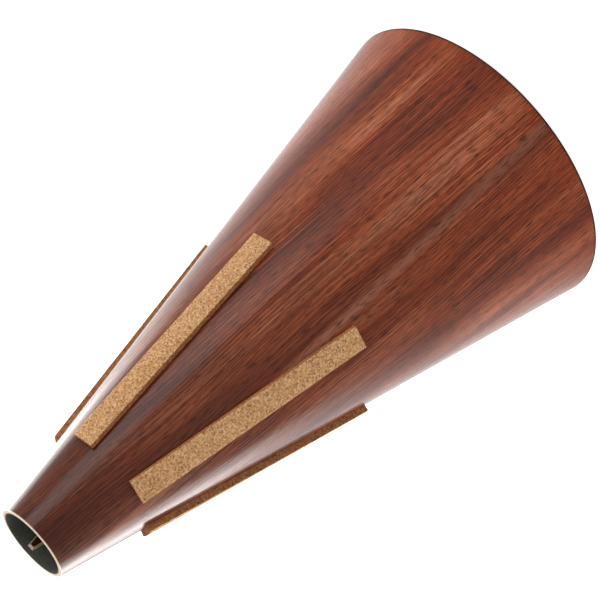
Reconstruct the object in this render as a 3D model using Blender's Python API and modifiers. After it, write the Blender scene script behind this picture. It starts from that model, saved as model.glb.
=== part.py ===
# French horn straight mute: a rolled wooden cone, closed at its wide end, with cork strips that seat it in the bell.
# It stands on its wide end. The origin is the centre of the base face and +Z runs along the axis to the open mouth.
# Bearings are in degrees round +Z, counter-clockwise from above, from the front, which faces -Y.
import bmesh
import bpy
from math import atan, atan2, cos, hypot, pi, radians, sin
from mathutils import Matrix, Vector

# Body, in metres
BODY_LENGTH = 0.245
WIDE_DIAMETER = 0.1342
MOUTH_DIAMETER = 0.0318
ROUND_STEPS = 96

# Laminated wall, from the outside in
VENEER_THICKNESS = 0.00045
CORE_THICKNESS = 0.0007
LINING_THICKNESS = 0.00025
PLY_GLUE = 0.00005
MOUTH_ROUNDING = 0.0003
ROUNDING_STEPS = 3

# Butt seam down the back, and the lath that backs it on the inside
SEAM_BEARING = 176.5
SEAM_GAP = 0.0002
LATH_WIDTH = 0.010
LATH_NOSE_WIDTH = 0.0031
LATH_NOSE_LENGTH = 0.022
LATH_INSET = 0.0019
LATH_THICKNESS = 0.0009
LATH_GLUE = 0.00015
LATH_FOOT_GAP = 0.0004
LATH_BEVEL_NARROW = 0.0004
LATH_BEVEL_WIDE = 0.0010
LATH_BEVEL_END = 0.0007

# Closed end: a plywood disc inside the wall, and a thin facing across the disc and the wall's edge
DISC_THICKNESS = 0.005
DISC_EDGE_GAP = 0.0002
FACING_THICKNESS = 0.0008
FACING_GLUE = 0.0001
FACING_ROUNDING = 0.0003

# Cork strips, laid by hand: the name, the bearing of the end near the mouth, the skew from the cone's straight
# line in degrees, and the distance of that end from the mouth's rim along the wall
STRIP_LENGTH = 0.103
STRIP_WIDTH = 0.0092
STRIP_THICKNESS = 0.0026
STRIP_GLUE = 0.00015
STRIP_EDGE_ROUNDING = 0.0003
STRIPS = (
    ("cork_strip_front_right", 34.4, -0.3, 0.0361),
    ("cork_strip_front_left", -32.5, -1.2, 0.0374),
    ("cork_strip_side_left", -96.0, -2.0, 0.0368),
    ("cork_strip_side_right", 108.5, -1.7, 0.0368),
    ("cork_strip_back", 176.5, 0.0, 0.0368),
)

# Cells of a strip or lath, along it and across it, and the share of a lath's rows that lie in its nose
CELLS_ALONG = 8
CELLS_ACROSS = 4
NOSE_ROWS = 0.5

# How far a cutter reaches past what it cuts
CUTTER_REACH = 0.010
MERGE_DISTANCE = 0.00001

# Corners sharper than these, in degrees, are shaded sharp, and on a strip are rounded off
SMOOTH_ANGLE = 30.0
CUT_EDGE_ANGLE = 50.0

HALF_ANGLE = atan((WIDE_DIAMETER - MOUTH_DIAMETER) / 2 / BODY_LENGTH)
APEX_TO_MOUTH = MOUTH_DIAMETER / 2 / sin(HALF_ANGLE)
WALL_BOTTOM = FACING_THICKNESS + FACING_GLUE
CORE_DEPTH = VENEER_THICKNESS + PLY_GLUE
LINING_DEPTH = CORE_DEPTH + CORE_THICKNESS + PLY_GLUE
WALL_THICKNESS = LINING_DEPTH + LINING_THICKNESS
LATH_TOTAL = LATH_GLUE + LATH_THICKNESS + PLY_GLUE + VENEER_THICKNESS


def wall_radius(z, depth=0.0):
    """Radius at height z of the cone that lies depth inside the outer surface, measured square to the wall."""
    outer = WIDE_DIAMETER / 2 - z * (WIDE_DIAMETER - MOUTH_DIAMETER) / 2 / BODY_LENGTH
    return outer - depth / cos(HALF_ANGLE)


def wall_point(along, across, bearing, depth):
    """A point of the unrolled wall, put back on the cone.

    along and across are measured on the flat sheet from the cone's tip, along the straight line at the bearing and
    square to it. depth is how far the point lies inside the outer surface, and is negative outside it.
    """
    from_tip = hypot(along, across)
    turn = radians(bearing) + atan2(across, along) / sin(HALF_ANGLE)
    down_wall = from_tip - APEX_TO_MOUTH
    radius = from_tip * sin(HALF_ANGLE) - depth * cos(HALF_ANGLE)
    height = BODY_LENGTH - down_wall * cos(HALF_ANGLE) - depth * sin(HALF_ANGLE)
    return Vector((radius * sin(turn), -radius * cos(turn), height))


def new_collection(name):
    collection = bpy.data.collections.new(name)
    bpy.context.scene.collection.children.link(collection)
    return collection


def new_material(name, colour, roughness):
    material = bpy.data.materials.new(name)
    material.use_nodes = True
    shader = material.node_tree.nodes["Principled BSDF"]
    shader.inputs["Base Color"].default_value = (*colour, 1)
    shader.inputs["Roughness"].default_value = roughness
    shader.inputs["Metallic"].default_value = 0
    return material


def new_object(name, mesh, collection, material=None):
    obj = bpy.data.objects.new(name, mesh)
    collection.objects.link(obj)
    if material:
        mesh.materials.append(material)
    return obj


def smooth(obj):
    """Shades the round faces smooth and keeps the corners sharp."""
    obj.data.shade_smooth()
    obj.data.set_sharp_from_angle(angle=radians(SMOOTH_ANGLE))


def turned(name, profile, collection, material):
    """A turned solid from (radius, height) points that run down its outer side."""
    mesh = bpy.data.meshes.new(name)
    count = len(profile)
    on_axis = profile[0][0] == 0 and profile[-1][0] == 0
    last = count - 1 if on_axis else count
    edges = [(i, (i + 1) % count) for i in range(last)]
    mesh.from_pydata([(radius, 0, z) for radius, z in profile], edges, [])
    obj = new_object(name, mesh, collection, material)
    screw = obj.modifiers.new("Turn", "SCREW")
    screw.axis = "Z"
    screw.angle = 2 * pi
    screw.steps = ROUND_STEPS
    screw.render_steps = ROUND_STEPS
    screw.use_smooth_shade = True
    screw.use_merge_vertices = True
    screw.merge_threshold = MERGE_DISTANCE
    return obj


def rounded_corner(centre, radius, start, end, steps):
    """Points of an arc about centre, between two angles in degrees."""
    angles = [radians(start + (end - start) * i / steps) for i in range(steps + 1)]
    return [(centre[0] + radius * cos(angle), centre[1] + radius * sin(angle)) for angle in angles]


def ply(name, outside, thickness, collection, material, rounding=0.0):
    """One layer of the rolled wall, whose outer face lies outside below the cone's surface."""
    inside = outside + thickness
    top_inner = (wall_radius(BODY_LENGTH, inside), BODY_LENGTH)
    bottom = [(wall_radius(WALL_BOTTOM, outside), WALL_BOTTOM), (wall_radius(WALL_BOTTOM, inside), WALL_BOTTOM)]
    if rounding:
        centre_z = BODY_LENGTH - rounding
        centre = (wall_radius(centre_z, outside + rounding), centre_z)
        top = rounded_corner(centre, rounding, 90, 0, ROUNDING_STEPS)
    else:
        top = [(wall_radius(BODY_LENGTH, outside), BODY_LENGTH)]
    return turned(name, [*top, *bottom, top_inner], collection, material)


def cut(obj, cutter):
    boolean = obj.modifiers.new("Cut " + cutter.name, "BOOLEAN")
    boolean.operation = "DIFFERENCE"
    boolean.solver = "EXACT"
    boolean.object = cutter


def seam_cutter(collection):
    """A thin upright blade that opens the butt seam through the wall."""
    reach = WIDE_DIAMETER / 2 + CUTTER_REACH
    height = BODY_LENGTH + 2 * CUTTER_REACH
    bm = bmesh.new()
    size = Matrix.Diagonal((SEAM_GAP, reach, height, 1))
    centre = Matrix.Translation((0, -reach / 2, BODY_LENGTH / 2))
    bmesh.ops.create_cube(bm, size=1, matrix=centre @ size)
    mesh = bpy.data.meshes.new("seam_blade")
    bm.to_mesh(mesh)
    bm.free()
    blade = new_object("seam_blade", mesh, collection)
    blade.rotation_euler.z = radians(SEAM_BEARING)
    blade.hide_render = True
    blade.display_type = "WIRE"
    return blade


def bent_sheet(name, place, thickness, collection, material):
    """A flat piece bent round the cone. place(u, v) gives each point from 0 to 1 along it and across it."""
    bm = bmesh.new()
    bmesh.ops.create_grid(bm, x_segments=CELLS_ALONG, y_segments=CELLS_ACROSS, size=0.5)
    for vertex in bm.verts:
        vertex.co = place(vertex.co.x + 0.5, vertex.co.y + 0.5)
    bm.normal_update()
    facing_in = [face for face in bm.faces if face.normal.dot(face.calc_center_median() * Vector((1, 1, 0))) < 0]
    bmesh.ops.reverse_faces(bm, faces=facing_in)
    mesh = bpy.data.meshes.new(name)
    bm.to_mesh(mesh)
    bm.free()
    obj = new_object(name, mesh, collection, material)
    solidify = obj.modifiers.new("Thickness", "SOLIDIFY")
    solidify.thickness = thickness
    solidify.use_even_offset = True
    return obj


def cork_strip(name, bearing, skew, from_rim, collection, material):
    """A cork strip glued to the outside, whose underside lies one glue line off the veneer."""

    def place(u, v):
        down = u * STRIP_LENGTH
        across = (v - 0.5) * STRIP_WIDTH
        along = APEX_TO_MOUTH + from_rim + down * cos(radians(skew)) - across * sin(radians(skew))
        sideways = down * sin(radians(skew)) + across * cos(radians(skew))
        return wall_point(along, sideways, bearing, -STRIP_GLUE)

    strip = bent_sheet(name, place, STRIP_THICKNESS, collection, material)
    strip.modifiers["Thickness"].offset = 1
    bevel = strip.modifiers.new("Cut edges", "BEVEL")
    bevel.width = STRIP_EDGE_ROUNDING
    bevel.segments = 1
    bevel.limit_method = "ANGLE"
    bevel.angle_limit = radians(CUT_EDGE_ANGLE)
    return strip


def lath_half_width(from_nose):
    """Half the lath's width, which tapers to a tongue at the mouth."""
    grown = min(from_nose / LATH_NOSE_LENGTH, 1)
    return (LATH_NOSE_WIDTH + (LATH_WIDTH - LATH_NOSE_WIDTH) * grown) / 2


def lath_layer(name, depth, thickness, margins, collection, material):
    """A layer of the seam lath. margins are how far it stands back at the nose and at its two long edges."""
    nose, low_side, high_side = margins
    # The foot is cut square to the wall, so its inner edge comes lowest over the base disc.
    foot_drop = (WALL_THICKNESS + LATH_TOTAL) * sin(HALF_ANGLE)
    foot_height = WALL_BOTTOM + DISC_THICKNESS + LATH_FOOT_GAP + foot_drop
    length = (BODY_LENGTH - foot_height) / cos(HALF_ANGLE) - LATH_INSET

    def place(u, v):
        # Rows lie closer in the tapered nose, which holds this share of them.
        if u < NOSE_ROWS:
            down = nose + (LATH_NOSE_LENGTH - nose) * u / NOSE_ROWS
        else:
            down = LATH_NOSE_LENGTH + (length - LATH_NOSE_LENGTH) * (u - NOSE_ROWS) / (1 - NOSE_ROWS)
        half = lath_half_width(down)
        low = low_side - half
        high = half - high_side
        along = APEX_TO_MOUTH + LATH_INSET + down
        return wall_point(along, low + (high - low) * v, SEAM_BEARING, depth)

    layer = bent_sheet(name, place, thickness, collection, material)
    layer.modifiers["Thickness"].offset = -1
    return layer


def closed_disc(name, bottom, top, depth, collection, material, rounding=0.0):
    """A turned disc between two heights whose edge follows the cone, depth inside its surface."""
    edge_top = (wall_radius(top, depth), top)
    if rounding:
        centre_z = bottom + rounding
        centre = (wall_radius(centre_z, depth + rounding), centre_z)
        edge_bottom = rounded_corner(centre, rounding, 0, -90, ROUNDING_STEPS)
    else:
        edge_bottom = [(wall_radius(bottom, depth), bottom)]
    return turned(name, [(0, top), edge_top, *edge_bottom, (0, bottom)], collection, material)


def build():
    for obj in list(bpy.data.objects):
        bpy.data.objects.remove(obj, do_unlink=True)

    mute = new_collection("french_horn_straight_mute")
    cutters = new_collection("cutters")

    veneer = new_material("Lacquered veneer", (0.17, 0.06, 0.035), 0.35)
    light_ply = new_material("Light core ply", (0.62, 0.46, 0.33), 0.7)
    black_fibre = new_material("Black fibre lining", (0.022, 0.023, 0.02), 0.6)
    birch = new_material("Birch plywood", (0.55, 0.4, 0.25), 0.7)
    dark_facing = new_material("Dark stained facing", (0.05, 0.035, 0.028), 0.5)
    cork = new_material("Pressed cork", (0.5, 0.32, 0.16), 0.9)

    wall = [
        ply("outer_veneer", 0, VENEER_THICKNESS, mute, veneer, MOUTH_ROUNDING),
        ply("core_ply", CORE_DEPTH, CORE_THICKNESS, mute, light_ply),
        ply("inner_lining", LINING_DEPTH, LINING_THICKNESS, mute, black_fibre),
    ]
    blade = seam_cutter(cutters)
    for layer in wall:
        cut(layer, blade)

    lath_depth = WALL_THICKNESS + LATH_GLUE
    lath_face_depth = lath_depth + LATH_THICKNESS + PLY_GLUE
    bevels = (LATH_BEVEL_END, LATH_BEVEL_NARROW, LATH_BEVEL_WIDE)
    lath_layer("seam_lath", lath_depth, LATH_THICKNESS, (0, 0, 0), mute, light_ply)
    lath_layer("seam_lath_veneer", lath_face_depth, VENEER_THICKNESS, bevels, mute, veneer)

    disc_top = WALL_BOTTOM + DISC_THICKNESS
    closed_disc("base_disc", WALL_BOTTOM, disc_top, WALL_THICKNESS + DISC_EDGE_GAP, mute, birch)
    closed_disc("base_facing", 0, FACING_THICKNESS, 0, mute, dark_facing, FACING_ROUNDING)

    for name, bearing, skew, from_rim in STRIPS:
        cork_strip(name, bearing, skew, from_rim, mute, cork)

    for obj in mute.objects:
        smooth(obj)


build()
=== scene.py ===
from math import atan, atan2, cos, hypot, pi, radians, sin

import bmesh
import bpy
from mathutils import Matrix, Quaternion, Vector, noise


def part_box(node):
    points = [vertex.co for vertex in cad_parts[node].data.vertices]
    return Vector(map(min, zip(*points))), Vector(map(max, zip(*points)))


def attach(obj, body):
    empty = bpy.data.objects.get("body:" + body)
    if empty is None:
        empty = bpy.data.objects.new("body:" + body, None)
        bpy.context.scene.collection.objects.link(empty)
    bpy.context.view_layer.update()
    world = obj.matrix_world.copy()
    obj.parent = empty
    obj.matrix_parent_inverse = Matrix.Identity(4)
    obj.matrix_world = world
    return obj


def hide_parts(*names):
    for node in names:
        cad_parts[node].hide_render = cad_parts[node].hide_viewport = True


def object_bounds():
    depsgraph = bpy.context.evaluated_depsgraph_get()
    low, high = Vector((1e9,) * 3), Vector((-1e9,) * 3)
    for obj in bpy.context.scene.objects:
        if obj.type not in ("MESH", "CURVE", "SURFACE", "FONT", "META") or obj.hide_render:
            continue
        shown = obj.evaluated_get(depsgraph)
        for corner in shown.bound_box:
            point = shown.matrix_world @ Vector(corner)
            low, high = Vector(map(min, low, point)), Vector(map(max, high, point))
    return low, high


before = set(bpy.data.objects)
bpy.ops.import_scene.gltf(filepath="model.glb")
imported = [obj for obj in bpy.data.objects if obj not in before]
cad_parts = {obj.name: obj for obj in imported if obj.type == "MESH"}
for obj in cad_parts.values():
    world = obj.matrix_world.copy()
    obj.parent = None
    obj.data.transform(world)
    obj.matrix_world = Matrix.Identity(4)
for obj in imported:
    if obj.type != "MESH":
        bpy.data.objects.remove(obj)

# A french horn straight mute: a rolled, lacquered veneer cone with cork strips, standing on its closed wide
# end. Lengths are metres, but millimetres in a material's patterns, relief and sanded edge. Bearings are
# degrees round +Z from the front, which faces -Y, counter-clockwise from above.

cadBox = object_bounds()
mm = 0.001

cone = {
    "length": cadBox[1].z,
    "wideDiameter": 0.1342,
    "mouthDiameter": 0.0318,
    "wallBottom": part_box("outer_veneer")[0].z,
    "seamBearing": 176.5,
    "seamGap": 0.00002,  # all but shut, so that no light comes through
    "stepsRound": 288,
    "edgeRounding": 0.0003,
    "edgeSteps": 4,
    "sharpAngle": 35,
}
halfAngle = atan((cone["wideDiameter"] - cone["mouthDiameter"]) / 2 / cone["length"])
tipToMouth = cone["mouthDiameter"] / 2 / sin(halfAngle)
tipHeight = cone["length"] + tipToMouth * cos(halfAngle)


def wallRadius(z, depth=0.0):
    return (tipHeight - z) * sin(halfAngle) / cos(halfAngle) - depth / cos(halfAngle)


def wallPoint(along, across, bearing, depth):
    # a point of the flat sheet, measured from the cone's tip, put back on the cone; depth is inwards
    fromTip = hypot(along, across)
    turn = radians(bearing) + atan2(across, along) / sin(halfAngle)
    radius = fromTip * sin(halfAngle) - depth * cos(halfAngle)
    height = tipHeight - fromTip * cos(halfAngle) - depth * sin(halfAngle)
    return Vector((radius * sin(turn), -radius * cos(turn), height))


def toLinear(hexColour):
    channels = [int(hexColour[i:i + 2], 16) / 255 for i in (1, 3, 5)]
    return (*[c / 12.92 if c <= 0.04045 else ((c + 0.055) / 1.055) ** 2.4 for c in channels], 1.0)


def addNode(tree, kind, inputs=(), **settings):
    # inputs stand in the sockets' order, or by a socket's name or number: a value, a socket that feeds it, or
    # a node whose first output does
    node = tree.nodes.new(kind)
    for key, value in settings.items():
        setattr(node, key, value)
    pairs = inputs.items() if isinstance(inputs, dict) else enumerate(inputs)
    for key, value in pairs:
        source = value.outputs[0] if isinstance(value, bpy.types.Node) else value
        if isinstance(source, bpy.types.NodeSocket):
            tree.links.new(source, node.inputs[key])
        else:
            node.inputs[key].default_value = source
    return node


def startMaterial(name):
    material = bpy.data.materials.new(name)
    material.use_nodes = True
    material.node_tree.nodes.clear()
    return material, material.node_tree


def addSurface(tree, inputs):
    shader = addNode(tree, "ShaderNodeBsdfPrincipled", inputs)
    addNode(tree, "ShaderNodeOutputMaterial", {"Surface": shader})


def setStops(ramp, tones):
    elements = ramp.color_ramp.elements
    while len(elements) < len(tones):
        elements.new(0.5)  # it gets its own place below
    for element, (place, colour) in zip(elements, tones.values()):
        element.position = place
        element.color = toLinear(colour)


def sheetPosition(tree):
    # a point's place on the unrolled sheet, in mm along the grain from the cone's tip and mm across it, and
    # its height in metres
    place = addNode(tree, "ShaderNodeTexCoord").outputs["Object"]
    turned = addNode(tree, "ShaderNodeVectorRotate",
                     {"Vector": place, "Angle": -radians(cone["seamBearing"] - 180)}, rotation_type="Z_AXIS")
    x, y, height = addNode(tree, "ShaderNodeSeparateXYZ", (turned,)).outputs
    back = addNode(tree, "ShaderNodeMath", (y, -1.0), operation="MULTIPLY")
    bearing = addNode(tree, "ShaderNodeMath", (x, back), operation="ARCTAN2")
    sheetAngle = addNode(tree, "ShaderNodeMath", (bearing, sin(halfAngle)), operation="MULTIPLY")
    drop = addNode(tree, "ShaderNodeMath", (tipHeight, height), operation="SUBTRACT")
    fromTip = addNode(tree, "ShaderNodeMath", (drop, 1 / cos(halfAngle) / mm), operation="MULTIPLY")
    cosine = addNode(tree, "ShaderNodeMath", (sheetAngle,), operation="COSINE")
    sine = addNode(tree, "ShaderNodeMath", (sheetAngle,), operation="SINE")
    along = addNode(tree, "ShaderNodeMath", (fromTip, cosine), operation="MULTIPLY")
    across = addNode(tree, "ShaderNodeMath", (fromTip, sine), operation="MULTIPLY")
    return along, across, height


# Where most of a noise texture's values lie
noiseSpan = (0.3, 0.7)

# Sapele veneer, rotary cut and lacquered: a red-brown wood with soft darker bands, fine straight streaks and
# short dark pores, under a satin clear coat that turns white where the eye grazes it. Each pattern is noise
# drawn out along the grain, from its own start. A tone is a place in the colour ramp and its colour.
veneer = {
    "tones": {
        "darkBand": (0.20, "#481A0C"),
        "redBrown": (0.44, "#783115"),
        "warmBrown": (0.62, "#8E4828"),
        "paleBand": (0.85, "#A56C55"),
    },
    "pore": "#280C05",
    "sandedEdge": "#E6CDB8",
    "warp": {"length": 90.0, "width": 30.0, "detail": 1.0, "shift": 5.0},
    "bands": {"length": 260.0, "width": 17.0, "start": (3.1, 5.27), "detail": 2.0, "roughness": 0.5},
    "streaks": {"length": 75.0, "width": 0.65, "start": (7.7, 13.09), "detail": 3.0, "roughness": 0.6},
    "figure": {"length": 26.0, "width": 9.0, "start": (1.3, 2.21), "detail": 2.0, "roughness": 0.5},
    "pores": {"length": 6.0, "width": 0.36, "start": (5.9, 10.03), "detail": 1.0, "roughness": 0.5},
    "streakTone": 0.24,
    "figureShade": (0.80, 1.16),
    # painted shade at the mouth and painted light at the wide end, as factors on the veneer's colour
    "mouthPaintedShade": 0.40,
    "widePaintedLight": 1.28,
    "stripes": (
        {"tone": "paleBand", "across": -14.0, "at": 265.0, "slope": 0.04, "width": 3.2, "share": 0.55},
        {"tone": "darkBand", "across": -9.0, "at": 175.0, "slope": -0.03, "width": 6.0, "share": 0.45},
    ),
    "stripeFade": (0.7, 1.5),  # where a stripe starts to fade and where it is gone, in its widths
    "poreSpan": (0.53, 0.64),
    "poreShare": 0.72,
    "relief": 0.25,
    "reliefDepth": 0.06,
    "sandedDepth": 0.4,
    "sandedBlend": 0.25,
    "roughness": (0.50, 0.38),  # on the dark streaks and on the pale ones
    "ior": 1.5,
    "reflection": 0.03,
    "coat": 1.0,
    "coatRoughness": 0.2,
    "coatIor": 1.26,  # lacquer is about 1.5, which shines too white here
}


def veneerMaterial(name):
    material, tree = startMaterial(name)
    along, across, height = sheetPosition(tree)
    # the grain wanders a little from side to side
    straight = addNode(tree, "ShaderNodeCombineXYZ", (along, across))
    warp = veneer["warp"]
    warpPlace = addNode(tree, "ShaderNodeVectorMath", (straight, (1 / warp["length"], 1 / warp["width"], 0)),
                        operation="MULTIPLY")
    warpNoise = addNode(tree, "ShaderNodeTexNoise",
                        {"Vector": warpPlace, "Scale": 1.0, "Detail": warp["detail"]})
    bend = addNode(tree, "ShaderNodeMath", (warpNoise, warp["shift"]), operation="MULTIPLY")
    grainAcross = addNode(tree, "ShaderNodeMath", (across, bend), operation="ADD")
    place = addNode(tree, "ShaderNodeCombineXYZ", (along, grainAcross))

    def drawnOut(pattern):
        shrink = (1 / pattern["length"], 1 / pattern["width"], 0)
        scaled = addNode(tree, "ShaderNodeVectorMath", (place, shrink, (*pattern["start"], 0)),
                         operation="MULTIPLY_ADD")
        return addNode(tree, "ShaderNodeTexNoise",
                       {"Vector": scaled, "Scale": 1.0, "Detail": pattern["detail"],
                        "Roughness": pattern["roughness"]})

    bands = drawnOut(veneer["bands"])
    streaks = drawnOut(veneer["streaks"])
    figure = drawnOut(veneer["figure"])
    pores = drawnOut(veneer["pores"])
    streakTone = addNode(tree, "ShaderNodeMapRange",
                         (streaks, *noiseSpan, -veneer["streakTone"], veneer["streakTone"]))
    tone = addNode(tree, "ShaderNodeMath", (bands, streakTone), operation="ADD")
    ramp = addNode(tree, "ShaderNodeValToRGB", (tone,))
    setStops(ramp, veneer["tones"])
    figureShade = addNode(tree, "ShaderNodeMapRange", (figure, *noiseSpan, *veneer["figureShade"]))
    # painted shade and light: the sheet is drawn darker towards the mouth and lighter towards the wide end, in
    # place of the light that falls from the wide end
    mouthEnd = tipToMouth / mm
    wideEnd = (tipToMouth + cone["length"]) / mm
    paintedEndLight = addNode(tree, "ShaderNodeMapRange",
                       (along, mouthEnd, wideEnd, veneer["mouthPaintedShade"], veneer["widePaintedLight"]))
    figureAndPaintedLight = addNode(tree, "ShaderNodeMath", (figureShade, paintedEndLight), operation="MULTIPLY")
    colour = addNode(tree, "ShaderNodeVectorMath", {0: ramp, 3: figureAndPaintedLight}, operation="SCALE")
    # two broad stripes, one pale and one dark, whose edges the streaks fray. A colour Mix takes its colours at
    # inputs 6 and 7 and gives the result at output 2.
    for stripe in veneer["stripes"]:
        start = stripe["across"] - stripe["at"] * stripe["slope"]
        middle = addNode(tree, "ShaderNodeMath", (along, stripe["slope"], start), operation="MULTIPLY_ADD")
        away = addNode(tree, "ShaderNodeMath", (across, middle), operation="SUBTRACT")
        distance = addNode(tree, "ShaderNodeMath", (away,), operation="ABSOLUTE")
        frayed = addNode(tree, "ShaderNodeMath", (streaks, stripe["width"], distance),
                         operation="MULTIPLY_ADD")
        fade = [stripe["width"] * widths for widths in veneer["stripeFade"]]
        mask = addNode(tree, "ShaderNodeMapRange", (frayed, *fade, stripe["share"], 0.0),
                       interpolation_type="SMOOTHSTEP")
        stripeColour = toLinear(veneer["tones"][stripe["tone"]][1])
        colour = addNode(tree, "ShaderNodeMix", {"Factor": mask, 6: colour, 7: stripeColour},
                         data_type="RGBA").outputs[2]
    poreMask = addNode(tree, "ShaderNodeMapRange", (pores, *veneer["poreSpan"], 0.0, veneer["poreShare"]))
    colour = addNode(tree, "ShaderNodeMix", {"Factor": poreMask, 6: colour, 7: toLinear(veneer["pore"])},
                     data_type="RGBA").outputs[2]
    # the cut edge at the mouth is sanded bare and pale
    sandedFrom = cone["length"] - veneer["sandedDepth"] * mm
    sandedFull = sandedFrom + veneer["sandedBlend"] * mm
    sandedMask = addNode(tree, "ShaderNodeMapRange", (height, sandedFrom, sandedFull, 0.0, 1.0))
    colour = addNode(tree, "ShaderNodeMix",
                     {"Factor": sandedMask, 6: colour, 7: toLinear(veneer["sandedEdge"])},
                     data_type="RGBA").outputs[2]
    sunk = addNode(tree, "ShaderNodeMath", (poreMask, -1.0), operation="MULTIPLY")
    addSurface(tree, {
        "Base Color": colour,
        "Roughness": addNode(tree, "ShaderNodeMapRange", (streaks, *noiseSpan, *veneer["roughness"])),
        "Normal": addNode(tree, "ShaderNodeBump", {"Height": sunk, "Strength": veneer["relief"],
                                                   "Distance": veneer["reliefDepth"] * mm}),
        "IOR": veneer["ior"],
        "Specular IOR Level": veneer["reflection"],
        "Coat Weight": veneer["coat"],
        "Coat Roughness": veneer["coatRoughness"],
        "Coat IOR": veneer["coatIor"],
    })
    return material


def addGrainedSurface(tree, look, place, tones, noiseScale=1.0):
    # one noise gives both the colour and a faint relief
    grain = addNode(tree, "ShaderNodeTexNoise",
                    {"Vector": place, "Scale": noiseScale, "Detail": look["detail"]})
    ramp = addNode(tree, "ShaderNodeValToRGB", (grain,))
    setStops(ramp, tones)
    addSurface(tree, {
        "Base Color": ramp,
        "Roughness": look["roughness"],
        "Specular IOR Level": look["reflection"],
        "Normal": addNode(tree, "ShaderNodeBump", {"Height": grain, "Strength": look["relief"],
                                                   "Distance": look["reliefDepth"] * mm}),
    })


# Poplar core and birch plywood, bare: pale straight-grained wood with faint darker lines, quite matt.
paleWood = {
    "poplar": {"line": (0.3, "#C4A180"), "light": (0.6, "#E8D2BB")},
    "birch": {"line": (0.3, "#B9986F"), "light": (0.6, "#DDC6A4")},
    "grainWidth": 0.8,
    "grainLength": 35.0,
    "detail": 3.0,
    "relief": 0.2,
    "reliefDepth": 0.05,
    "roughness": 0.68,
    "reflection": 0.5,
}


def paleWoodMaterial(name, tones, onSheet):
    material, tree = startMaterial(name)
    if onSheet:
        along, across, _ = sheetPosition(tree)
        place = addNode(tree, "ShaderNodeCombineXYZ", (along, across))
    else:
        metres = addNode(tree, "ShaderNodeTexCoord").outputs["Object"]
        place = addNode(tree, "ShaderNodeVectorMath", {0: metres, 3: 1 / mm}, operation="SCALE")
    shrink = (1 / paleWood["grainLength"], 1 / paleWood["grainWidth"], 1)
    scaled = addNode(tree, "ShaderNodeVectorMath", (place, shrink), operation="MULTIPLY")
    addGrainedSurface(tree, paleWood, scaled, tones)
    return material


# Vulcanised fibre, calendered: a dense paper sheet, dark grey with a green cast, smooth enough for a dull
# sheen. Its flecks are drawn coarser than real fibres, so that they show.
fibre = {
    "tones": {"dark": (0.35, "#51524A"), "light": (0.7, "#696A60")},
    "fleckSize": 0.7,
    "detail": 3.0,
    "relief": 0.15,
    "reliefDepth": 0.04,
    "roughness": 0.45,
    "reflection": 0.5,
}


def fibreMaterial(name):
    material, tree = startMaterial(name)
    metres = addNode(tree, "ShaderNodeTexCoord").outputs["Object"]
    addGrainedSurface(tree, fibre, metres, fibre["tones"], 1 / (fibre["fleckSize"] * mm))
    return material


# Stained facing veneer: dark brown wood with straight grain, sealed and rubbed nearly matt.
facing = {
    "tones": {"dark": (0.35, "#2E211B"), "light": (0.65, "#4A372D")},
    "grainWidth": 0.9,
    "grainLength": 40.0,
    "detail": 4.0,
    "relief": 0.2,
    "reliefDepth": 0.05,
    "roughness": 0.75,
    "reflection": 0.1,
    "rounding": 0.0003,
}


def facingMaterial(name):
    material, tree = startMaterial(name)
    metres = addNode(tree, "ShaderNodeTexCoord").outputs["Object"]
    shrink = (1 / facing["grainWidth"] / mm, 1 / facing["grainLength"] / mm, 1 / mm)
    scaled = addNode(tree, "ShaderNodeVectorMath", (metres, shrink), operation="MULTIPLY")
    addGrainedSurface(tree, facing, scaled, facing["tones"])
    return material


# Agglomerated cork, sliced: pressed granules from straw to tan with dark bark specks, dry and matt. The
# sliced sides are browner than the faces. They are found by how well a face's normal matches the cone's, and
# sideSpan says where their colour starts and where it is full.
cork = {
    "tones": {
        "shadowed": (0.12, "#9C6D43"),
        "tan": (0.36, "#B9885A"),
        "straw": (0.62, "#C89A6C"),
        "pale": (0.9, "#DCB68A"),
    },
    "speck": "#7E5432",
    "side": "#D8BEB4",
    "granule": 0.6,
    "speckSize": 0.6,
    "speckSpan": (0.86, 0.92),
    "speckShare": 0.75,
    "dustSize": 0.22,
    "dustDetail": 2.0,
    "dustTone": 0.55,
    "toneSpan": 1.5,  # about the largest sum of a granule's tone and its dust
    "sideSpan": (0.75, 0.35),
    "relief": 0.5,
    "reliefDepth": 0.12,
    "roughness": 0.95,
    "reflection": 0.2,
}


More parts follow.
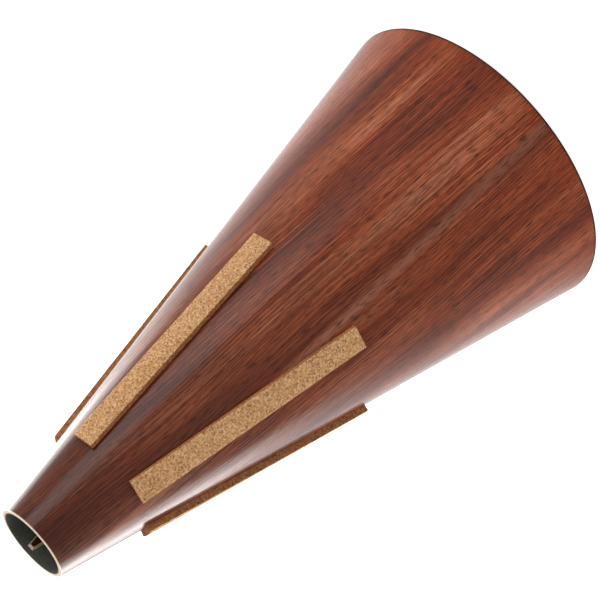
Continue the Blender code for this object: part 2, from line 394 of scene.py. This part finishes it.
def corkMaterial(name):
    material, tree = startMaterial(name)
    metres = addNode(tree, "ShaderNodeTexCoord").outputs["Object"]
    granules = addNode(tree, "ShaderNodeTexVoronoi", {"Vector": metres, "Scale": 1 / (cork["granule"] * mm)})
    specks = addNode(tree, "ShaderNodeTexVoronoi", {"Vector": metres, "Scale": 1 / (cork["speckSize"] * mm)})
    dust = addNode(tree, "ShaderNodeTexNoise", {"Vector": metres, "Scale": 1 / (cork["dustSize"] * mm),
                                                "Detail": cork["dustDetail"]})
    granuleTone = addNode(tree, "ShaderNodeSeparateColor", (granules.outputs["Color"],))
    dusted = addNode(tree, "ShaderNodeMath", (dust, cork["dustTone"], granuleTone), operation="MULTIPLY_ADD")
    tone = addNode(tree, "ShaderNodeMath", (dusted, cork["toneSpan"]), operation="DIVIDE")
    ramp = addNode(tree, "ShaderNodeValToRGB", (tone,))
    setStops(ramp, cork["tones"])
    speckTone = addNode(tree, "ShaderNodeSeparateColor", (specks.outputs["Color"],)).outputs[1]
    speckMask = addNode(tree, "ShaderNodeMapRange", (speckTone, *cork["speckSpan"], 0.0, cork["speckShare"]))
    colour = addNode(tree, "ShaderNodeMix", {"Factor": speckMask, 6: ramp, 7: toLinear(cork["speck"])},
                     data_type="RGBA").outputs[2]
    x, y, _ = addNode(tree, "ShaderNodeSeparateXYZ", (metres,)).outputs
    flat = addNode(tree, "ShaderNodeCombineXYZ", (x, y))
    outwards = addNode(tree, "ShaderNodeVectorMath", (flat,), operation="NORMALIZE")
    coneNormal = addNode(tree, "ShaderNodeVectorMath",
                         (outwards, (cos(halfAngle),) * 3, (0, 0, sin(halfAngle))), operation="MULTIPLY_ADD")
    normal = addNode(tree, "ShaderNodeNewGeometry").outputs["True Normal"]
    match = addNode(tree, "ShaderNodeVectorMath", (normal, coneNormal), operation="DOT_PRODUCT")
    sideMask = addNode(tree, "ShaderNodeMapRange", (match.outputs["Value"], *cork["sideSpan"], 0.0, 1.0))
    colour = addNode(tree, "ShaderNodeMix", {"Factor": sideMask, 6: colour, 7: toLinear(cork["side"])},
                     data_type="RGBA", blend_type="MULTIPLY").outputs[2]
    crumbs = addNode(tree, "ShaderNodeMath", (granules.outputs["Distance"], dust), operation="ADD")
    addSurface(tree, {
        "Base Color": colour,
        "Roughness": cork["roughness"],
        "Specular IOR Level": cork["reflection"],
        "Normal": addNode(tree, "ShaderNodeBump", {"Height": crumbs, "Strength": cork["relief"],
                                                   "Distance": cork["reliefDepth"] * mm}),
    })
    return material


def finishPiece(bm, name, material, node, sharpAngle=cone["sharpAngle"]):
    bmesh.ops.recalc_face_normals(bm, faces=bm.faces[:])
    mesh = bpy.data.meshes.new(name)
    bm.to_mesh(mesh)
    bm.free()
    mesh.materials.append(material)
    mesh.shade_smooth()
    mesh.set_sharp_from_angle(angle=radians(sharpAngle))
    piece = bpy.data.objects.new(name, mesh)
    bpy.context.scene.collection.objects.link(piece)
    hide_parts(node)
    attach(piece, "root")


def roundedCorner(centre, radius, start, end, steps):
    angles = [radians(start + (end - start) * i / steps) for i in range(steps + 1)]
    return [(centre[0] + radius * cos(angle), centre[1] + radius * sin(angle)) for angle in angles]


def skin(bm, rings):
    # joins rings of corners into a bar and caps its two ends
    count = len(rings[0])
    for ring, after in zip(rings, rings[1:]):
        for k in range(count):
            bm.faces.new((ring[k], ring[(k + 1) % count], after[(k + 1) % count], after[k]))
    bm.faces.new(rings[0])
    bm.faces.new(rings[-1][::-1])


def wrap(section):
    # sweeps a closed outline of (radius, height) points from one side of the seam round to the other
    bm = bmesh.new()
    steps = cone["stepsRound"]
    rings = []
    for i in range(steps + 1):
        ring = []
        for radius, z in section:
            slit = cone["seamGap"] / 2 / radius
            turn = radians(cone["seamBearing"]) + slit + (2 * pi - 2 * slit) * i / steps
            ring.append(bm.verts.new((radius * sin(turn), -radius * cos(turn), z)))
        rings.append(ring)
    skin(bm, rings)
    return bm


def turnedSolid(section):
    # turns an outline that starts and ends on the axis
    bm = bmesh.new()
    steps = cone["stepsRound"]
    top = bm.verts.new((0, 0, section[0][1]))
    bottom = bm.verts.new((0, 0, section[-1][1]))
    rings = []
    for i in range(steps):
        turn = 2 * pi * i / steps
        ring = [bm.verts.new((radius * sin(turn), -radius * cos(turn), z)) for radius, z in section[1:-1]]
        rings.append(ring)
    for ring, after in zip(rings, rings[1:] + rings[:1]):
        bm.faces.new((top, ring[0], after[0]))
        bm.faces.new((bottom, after[-1], ring[-1]))
        for k in range(len(ring) - 1):
            bm.faces.new((ring[k], ring[k + 1], after[k + 1], after[k]))
    return bm


# The wall's three layers, from the outside in, each laid on the one before
wall = {
    "veneerThickness": 0.00045,
    "coreThickness": 0.0007,
    "liningThickness": 0.00025,
    "glue": 0.00005,
}
coreDepth = wall["veneerThickness"] + wall["glue"]
liningDepth = coreDepth + wall["coreThickness"] + wall["glue"]
wallThickness = liningDepth + wall["liningThickness"]


def buildWall(veneerLook, coreLook, liningLook):
    top = cone["length"]
    low = cone["wallBottom"]
    turn = cone["edgeRounding"]
    layers = (
        ("lacqueredVeneer", 0.0, coreDepth, veneerLook, "outer_veneer", "veneer"),
        ("rolledCore", coreDepth, liningDepth, coreLook, "core_ply", "core"),
        ("fibreLining", liningDepth, wallThickness, liningLook, "inner_lining", "lining"),
    )
    for name, outside, inside, look, node, slotName in layers:
        section = [(wallRadius(low, inside), low), (wallRadius(top, inside), top)]
        if outside == 0:
            # the veneer's outer edge is rounded over
            centre = (wallRadius(top - turn, turn), top - turn)
            section += roundedCorner(centre, turn, 90, 0, cone["edgeSteps"])
        else:
            section.append((wallRadius(top, outside), top))
        section.append((wallRadius(low, outside), low))
        finishPiece(wrap(section), name, look, node)


# The lath behind the seam: a tapered nose at the mouth, chamfered edges, and a face of the outer veneer, whose
# painted shade darkens it near the mouth
lath = {
    "width": 0.010,
    "noseWidth": 0.0031,
    "noseLength": 0.022,
    "inset": 0.0019,
    "thickness": 0.0011,
    "faceThickness": 0.00045,
    "chamferEnd": 0.0007,
    "chamferNarrow": 0.0004,
    "chamferWide": 0.0010,
    "cells": 60,
    "crowding": 2,
    "sharpAngle": 20,
}
lathLength = (cone["length"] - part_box("seam_lath")[0].z) / cos(halfAngle) - lath["inset"]


def lathLayer(depth, thickness, outer, inner):
    # outer and inner are how far the side by the wall and the side by the air stand back: at the nose, at the
    # low edge and at the high edge. The rows crowd towards the nose.
    bm = bmesh.new()
    rows = []
    for i in range(lath["cells"] + 1):
        share = (i / lath["cells"]) ** lath["crowding"]
        row = []
        for (nose, lowSide, highSide), level in ((outer, depth), (inner, depth + thickness)):
            down = nose + (lathLength - nose) * share
            grown = min(down / lath["noseLength"], 1)
            half = (lath["noseWidth"] + (lath["width"] - lath["noseWidth"]) * grown) / 2
            for across in (lowSide - half, (lowSide - highSide) / 2, half - highSide):
                along = tipToMouth + lath["inset"] + down
                row.append(bm.verts.new(wallPoint(along, across, cone["seamBearing"], level)))
        rows.append([*row[:3], *row[:2:-1]])
    skin(bm, rows)
    return bm


def buildLath(coreLook, veneerLook):
    square = (0, 0, 0)
    chamfers = (lath["chamferEnd"], lath["chamferNarrow"], lath["chamferWide"])
    body = lathLayer(wallThickness, lath["thickness"], square, chamfers)
    finishPiece(body, "seamLath", coreLook, "seam_lath", lath["sharpAngle"])
    face = lathLayer(wallThickness + lath["thickness"], lath["faceThickness"], chamfers, chamfers)
    finishPiece(face, "seamLathFace", veneerLook, "seam_lath_veneer", lath["sharpAngle"])


# The plywood disc inside the wide end, glued to the lining all round
disc = {
    "glue": 0.0001,
}


def buildBase(plywoodLook, facingLook):
    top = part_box("base_disc")[1].z
    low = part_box("base_disc")[0].z
    edge = wallThickness + disc["glue"]
    finishPiece(turnedSolid([(0, top), (wallRadius(top, edge), top), (wallRadius(low, edge), low), (0, low)]),
                "plywoodDisc", plywoodLook, "base_disc")
    turn = facing["rounding"]
    upper = cone["wallBottom"]
    rounded = roundedCorner((wallRadius(turn, turn), turn), turn, 0, -90, cone["edgeSteps"])
    finishPiece(turnedSolid([(0, upper), (wallRadius(upper), upper), *rounded, (0, 0)]),
                "stainedFacing", facingLook, "base_facing")


# Cork strips: piece name, CAD node, bearing at the end near the mouth, skew in degrees, distance from the rim
strips = {
    "length": 0.103,
    "width": 0.0092,
    "thickness": 0.00275,
    "cellsAlong": 206,
    "cellsAcross": 18,
    "cellsUp": 5,
    "crumbSize": 0.0006,
    "crumbSeed": 1,
    "crumble": 0.00016,
    "faceRelief": 0.00005,
    "edgeDrop": 0.00012,
    "sharpAngle": 60,
    "laid": (
        ("corkFrontRight", "cork_strip_front_right", 34.4, -0.3, 0.0361),
        ("corkFrontLeft", "cork_strip_front_left", -32.5, -1.2, 0.0374),
        ("corkSideLeft", "cork_strip_side_left", -96.0, -2.0, 0.0368),
        ("corkSideRight", "cork_strip_side_right", 108.5, -1.7, 0.0368),
        ("corkBack", "cork_strip_back", 176.5, 0.0, 0.0368),
    ),
}


def corkStrip(bearing, skew, fromRim):
    # a block of cells over the strip's outside only, whose cut edges crumble a little
    bm = bmesh.new()
    rows, columns, top = strips["cellsAlong"], strips["cellsAcross"], strips["cellsUp"]
    verts = {}

    def at(i, j, k):
        if (i, j, k) not in verts:
            down = strips["length"] * i / rows
            sideways = strips["width"] * (j / columns - 0.5)
            up = strips["thickness"] * k / top
            atEnd = i in (0, rows)
            atSide = j in (0, columns)
            onFace = k == top
            crumb = Vector((down, sideways, up)) / strips["crumbSize"] + Vector((bearing, skew, 0))
            loose = noise.noise_vector(crumb)
            if k:
                down += loose.x * strips["crumble"] * atEnd
                sideways += loose.y * strips["crumble"] * atSide
                up += loose.z * strips["faceRelief"] * onFace
            if onFace and (atEnd or atSide):
                up -= strips["edgeDrop"]
            skewed = radians(skew)
            along = tipToMouth + fromRim + down * cos(skewed) - sideways * sin(skewed)
            across = down * sin(skewed) + sideways * cos(skewed)
            verts[i, j, k] = bm.verts.new(wallPoint(along, across, bearing, -up))
        return verts[i, j, k]

    for i in range(rows):
        for j in range(columns):
            bm.faces.new((at(i, j, top), at(i + 1, j, top), at(i + 1, j + 1, top), at(i, j + 1, top)))
            bm.faces.new((at(i, j, 0), at(i, j + 1, 0), at(i + 1, j + 1, 0), at(i + 1, j, 0)))
    for i in range(rows):
        for k in range(top):
            for j in (0, columns):
                bm.faces.new((at(i, j, k), at(i + 1, j, k), at(i + 1, j, k + 1), at(i, j, k + 1)))
    for j in range(columns):
        for k in range(top):
            for i in (0, rows):
                bm.faces.new((at(i, j, k), at(i, j + 1, k), at(i, j + 1, k + 1), at(i, j, k + 1)))
    return bm


def buildStrips(look):
    noise.seed_set(strips["crumbSeed"])  # without a seed, each run would crumble them differently
    for name, node, bearing, skew, fromRim in strips["laid"]:
        finishPiece(corkStrip(bearing, skew, fromRim), name, look, node, strips["sharpAngle"])


# Studio: white all round, a large soft lamp in front on the +X side, four tall panels behind and a pale
# floor. A panel has a name, a place, a power, and whether it lights matt surfaces or shows in gloss alone.
studio = {
    "worldOnObject": 0.62,
    "lampPlace": (0.95, -1.15, 0.35),
    "lampSize": (0.8, 0.8),
    "lampPower": 7.5,
    "panelSize": (0.7, 1.1),
    "panels": (
        ("panelRight", (0.80, 0.62, 0.30), 13.0, True),
        ("panelLeft", (-0.80, 0.62, 0.30), 13.0, True),
        ("sheenRight", (0.62, 0.80, 0.30), 10.0, False),
        ("sheenLeft", (-0.62, 0.80, 0.30), 8.0, False),
    ),
    "floorSize": 6.0,
    "floorColour": "#F4F4F4",
    "floorGlow": 0.55,
    "cameraPlace": (-0.0911, -0.7420, 0.4298),
    "cameraAim": (0.0035, -0.0005, 0.0989),
    "cameraRoll": 130.74,
    "lens": 123.45,
    "sensor": 36.0,
    "clipStart": 0.01,
}


def whitenWorld():
    # full white where it is seen, in gloss or through glass too, and weaker where it lights the object
    world = bpy.data.worlds.new("studioWorld")
    bpy.context.scene.world = world
    world.use_nodes = True
    tree = world.node_tree
    tree.nodes.clear()
    ray = addNode(tree, "ShaderNodeLightPath").outputs
    seen = addNode(tree, "ShaderNodeMath", (ray["Is Camera Ray"], ray["Is Glossy Ray"]), operation="MAXIMUM")
    seenOrThrough = addNode(tree, "ShaderNodeMath", (seen, ray["Is Transmission Ray"]), operation="MAXIMUM")
    strength = addNode(tree, "ShaderNodeMapRange", (seenOrThrough, 0.0, 1.0, studio["worldOnObject"], 1.0))
    background = addNode(tree, "ShaderNodeBackground", {"Color": toLinear("#FFFFFF"), "Strength": strength})
    addNode(tree, "ShaderNodeOutputWorld", {"Surface": background})


def softLamp(name, place, size, power, onMatt):
    lamp = bpy.data.lights.new(name, "AREA")
    lamp.shape = "RECTANGLE"
    lamp.size, lamp.size_y = size
    lamp.energy = power
    lampObject = bpy.data.objects.new(name, lamp)
    bpy.context.scene.collection.objects.link(lampObject)
    lampObject.location = place
    aim = Vector((0, 0, cone["length"] / 2)) - lampObject.location
    lampObject.rotation_euler = aim.to_track_quat("-Z", "Y").to_euler()
    lampObject.visible_camera = False
    lampObject.visible_diffuse = onMatt


def setLamps():
    # the panels whiten the cone's edges
    softLamp("softLamp", studio["lampPlace"], studio["lampSize"], studio["lampPower"], True)
    for name, place, power, onMatt in studio["panels"]:
        softLamp(name, place, studio["panelSize"], power, onMatt)


def layFloor():
    bm = bmesh.new()
    bmesh.ops.create_grid(bm, x_segments=1, y_segments=1, size=studio["floorSize"] / 2)
    mesh = bpy.data.meshes.new("floor")
    bm.to_mesh(mesh)
    bm.free()
    floor = bpy.data.objects.new("floor", mesh)
    bpy.context.scene.collection.objects.link(floor)
    look, tree = startMaterial("pale floor")
    matt = addNode(tree, "ShaderNodeBsdfDiffuse", {"Color": toLinear(studio["floorColour"])})
    cameraRay = addNode(tree, "ShaderNodeLightPath").outputs["Is Camera Ray"]
    glow = addNode(tree, "ShaderNodeMath", (cameraRay, studio["floorGlow"]), operation="MULTIPLY")
    light = addNode(tree, "ShaderNodeEmission", {"Strength": glow})
    both = addNode(tree, "ShaderNodeAddShader", (matt, light))
    addNode(tree, "ShaderNodeOutputMaterial", {"Surface": both})
    mesh.materials.append(look)


def placeCamera():
    camera = bpy.data.cameras.new("camera")
    camera.lens = studio["lens"]
    camera.sensor_width = studio["sensor"]
    camera.clip_start = studio["clipStart"]
    cameraObject = bpy.data.objects.new("camera", camera)
    bpy.context.scene.collection.objects.link(cameraObject)
    place = Vector(studio["cameraPlace"])
    forward = (Vector(studio["cameraAim"]) - place).normalized()
    level = forward.to_track_quat("-Z", "Y")
    cameraObject.rotation_mode = "QUATERNION"
    cameraObject.rotation_quaternion = Quaternion(forward, radians(studio["cameraRoll"])) @ level
    cameraObject.location = place
    bpy.context.scene.camera = cameraObject
    bpy.context.scene.view_settings.view_transform = "Standard"


whitenWorld()
setLamps()
layFloor()
placeCamera()
print("studio set")
veneerLook = veneerMaterial("lacquered sapele veneer")
coreLook = paleWoodMaterial("bare poplar core", paleWood["poplar"], True)
buildWall(veneerLook, coreLook, fibreMaterial("vulcanised fibre lining"))
print("wall wrapped")
buildLath(coreLook, veneerLook)
print("lath laid")
plywoodLook = paleWoodMaterial("birch plywood", paleWood["birch"], False)
buildBase(plywoodLook, facingMaterial("stained facing veneer"))
print("wide end closed")
buildStrips(corkMaterial("sliced agglomerated cork"))
print("cork strips laid")
